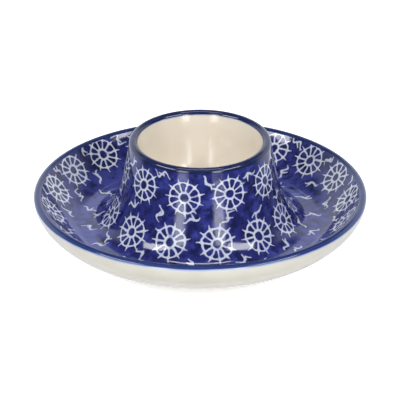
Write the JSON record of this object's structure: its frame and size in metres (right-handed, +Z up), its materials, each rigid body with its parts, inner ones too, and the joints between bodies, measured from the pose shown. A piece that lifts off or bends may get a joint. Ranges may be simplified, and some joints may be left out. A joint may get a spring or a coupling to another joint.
{
  "type": "egg cup",
  "caption": "Flared cup for one egg, standing in the middle of a shallow round saucer made in one with it; blue glaze with pale flowers outside, cream glaze inside.",
  "frame": {"origin": "centre of the foot ring, on the plane that it rests on", "axes": "+Z up along the axis that the cup and saucer are turned about; +X and +Y are alike, because every piece is a ring or a bowl round Z; the picture looks along +Y"},
  "size_m": [0.125, 0.125, 0.0399],
  "materials": {
    "bare_clay": "matte, unglazed",
    "clay_body": "matte, covered by glaze",
    "cobalt_glaze": "gloss, with pale stamped flowers",
    "slate_blue_glaze": "gloss, brushed band",
    "cream_glaze": "gloss"
  },
  "bodies": {
    "root": {"foot_ring": "bare_clay", "saucer": "clay_body", "cup_wall": "clay_body", "egg_bowl": "clay_body", "stamped_blue_glaze": "cobalt_glaze", "saucer_lip_band": "slate_blue_glaze", "cup_rim_band": "slate_blue_glaze", "bowl_glaze": "cream_glaze", "outside_glaze": "cream_glaze", "underside_glaze": "cream_glaze"}
  },
  "joints": []
}
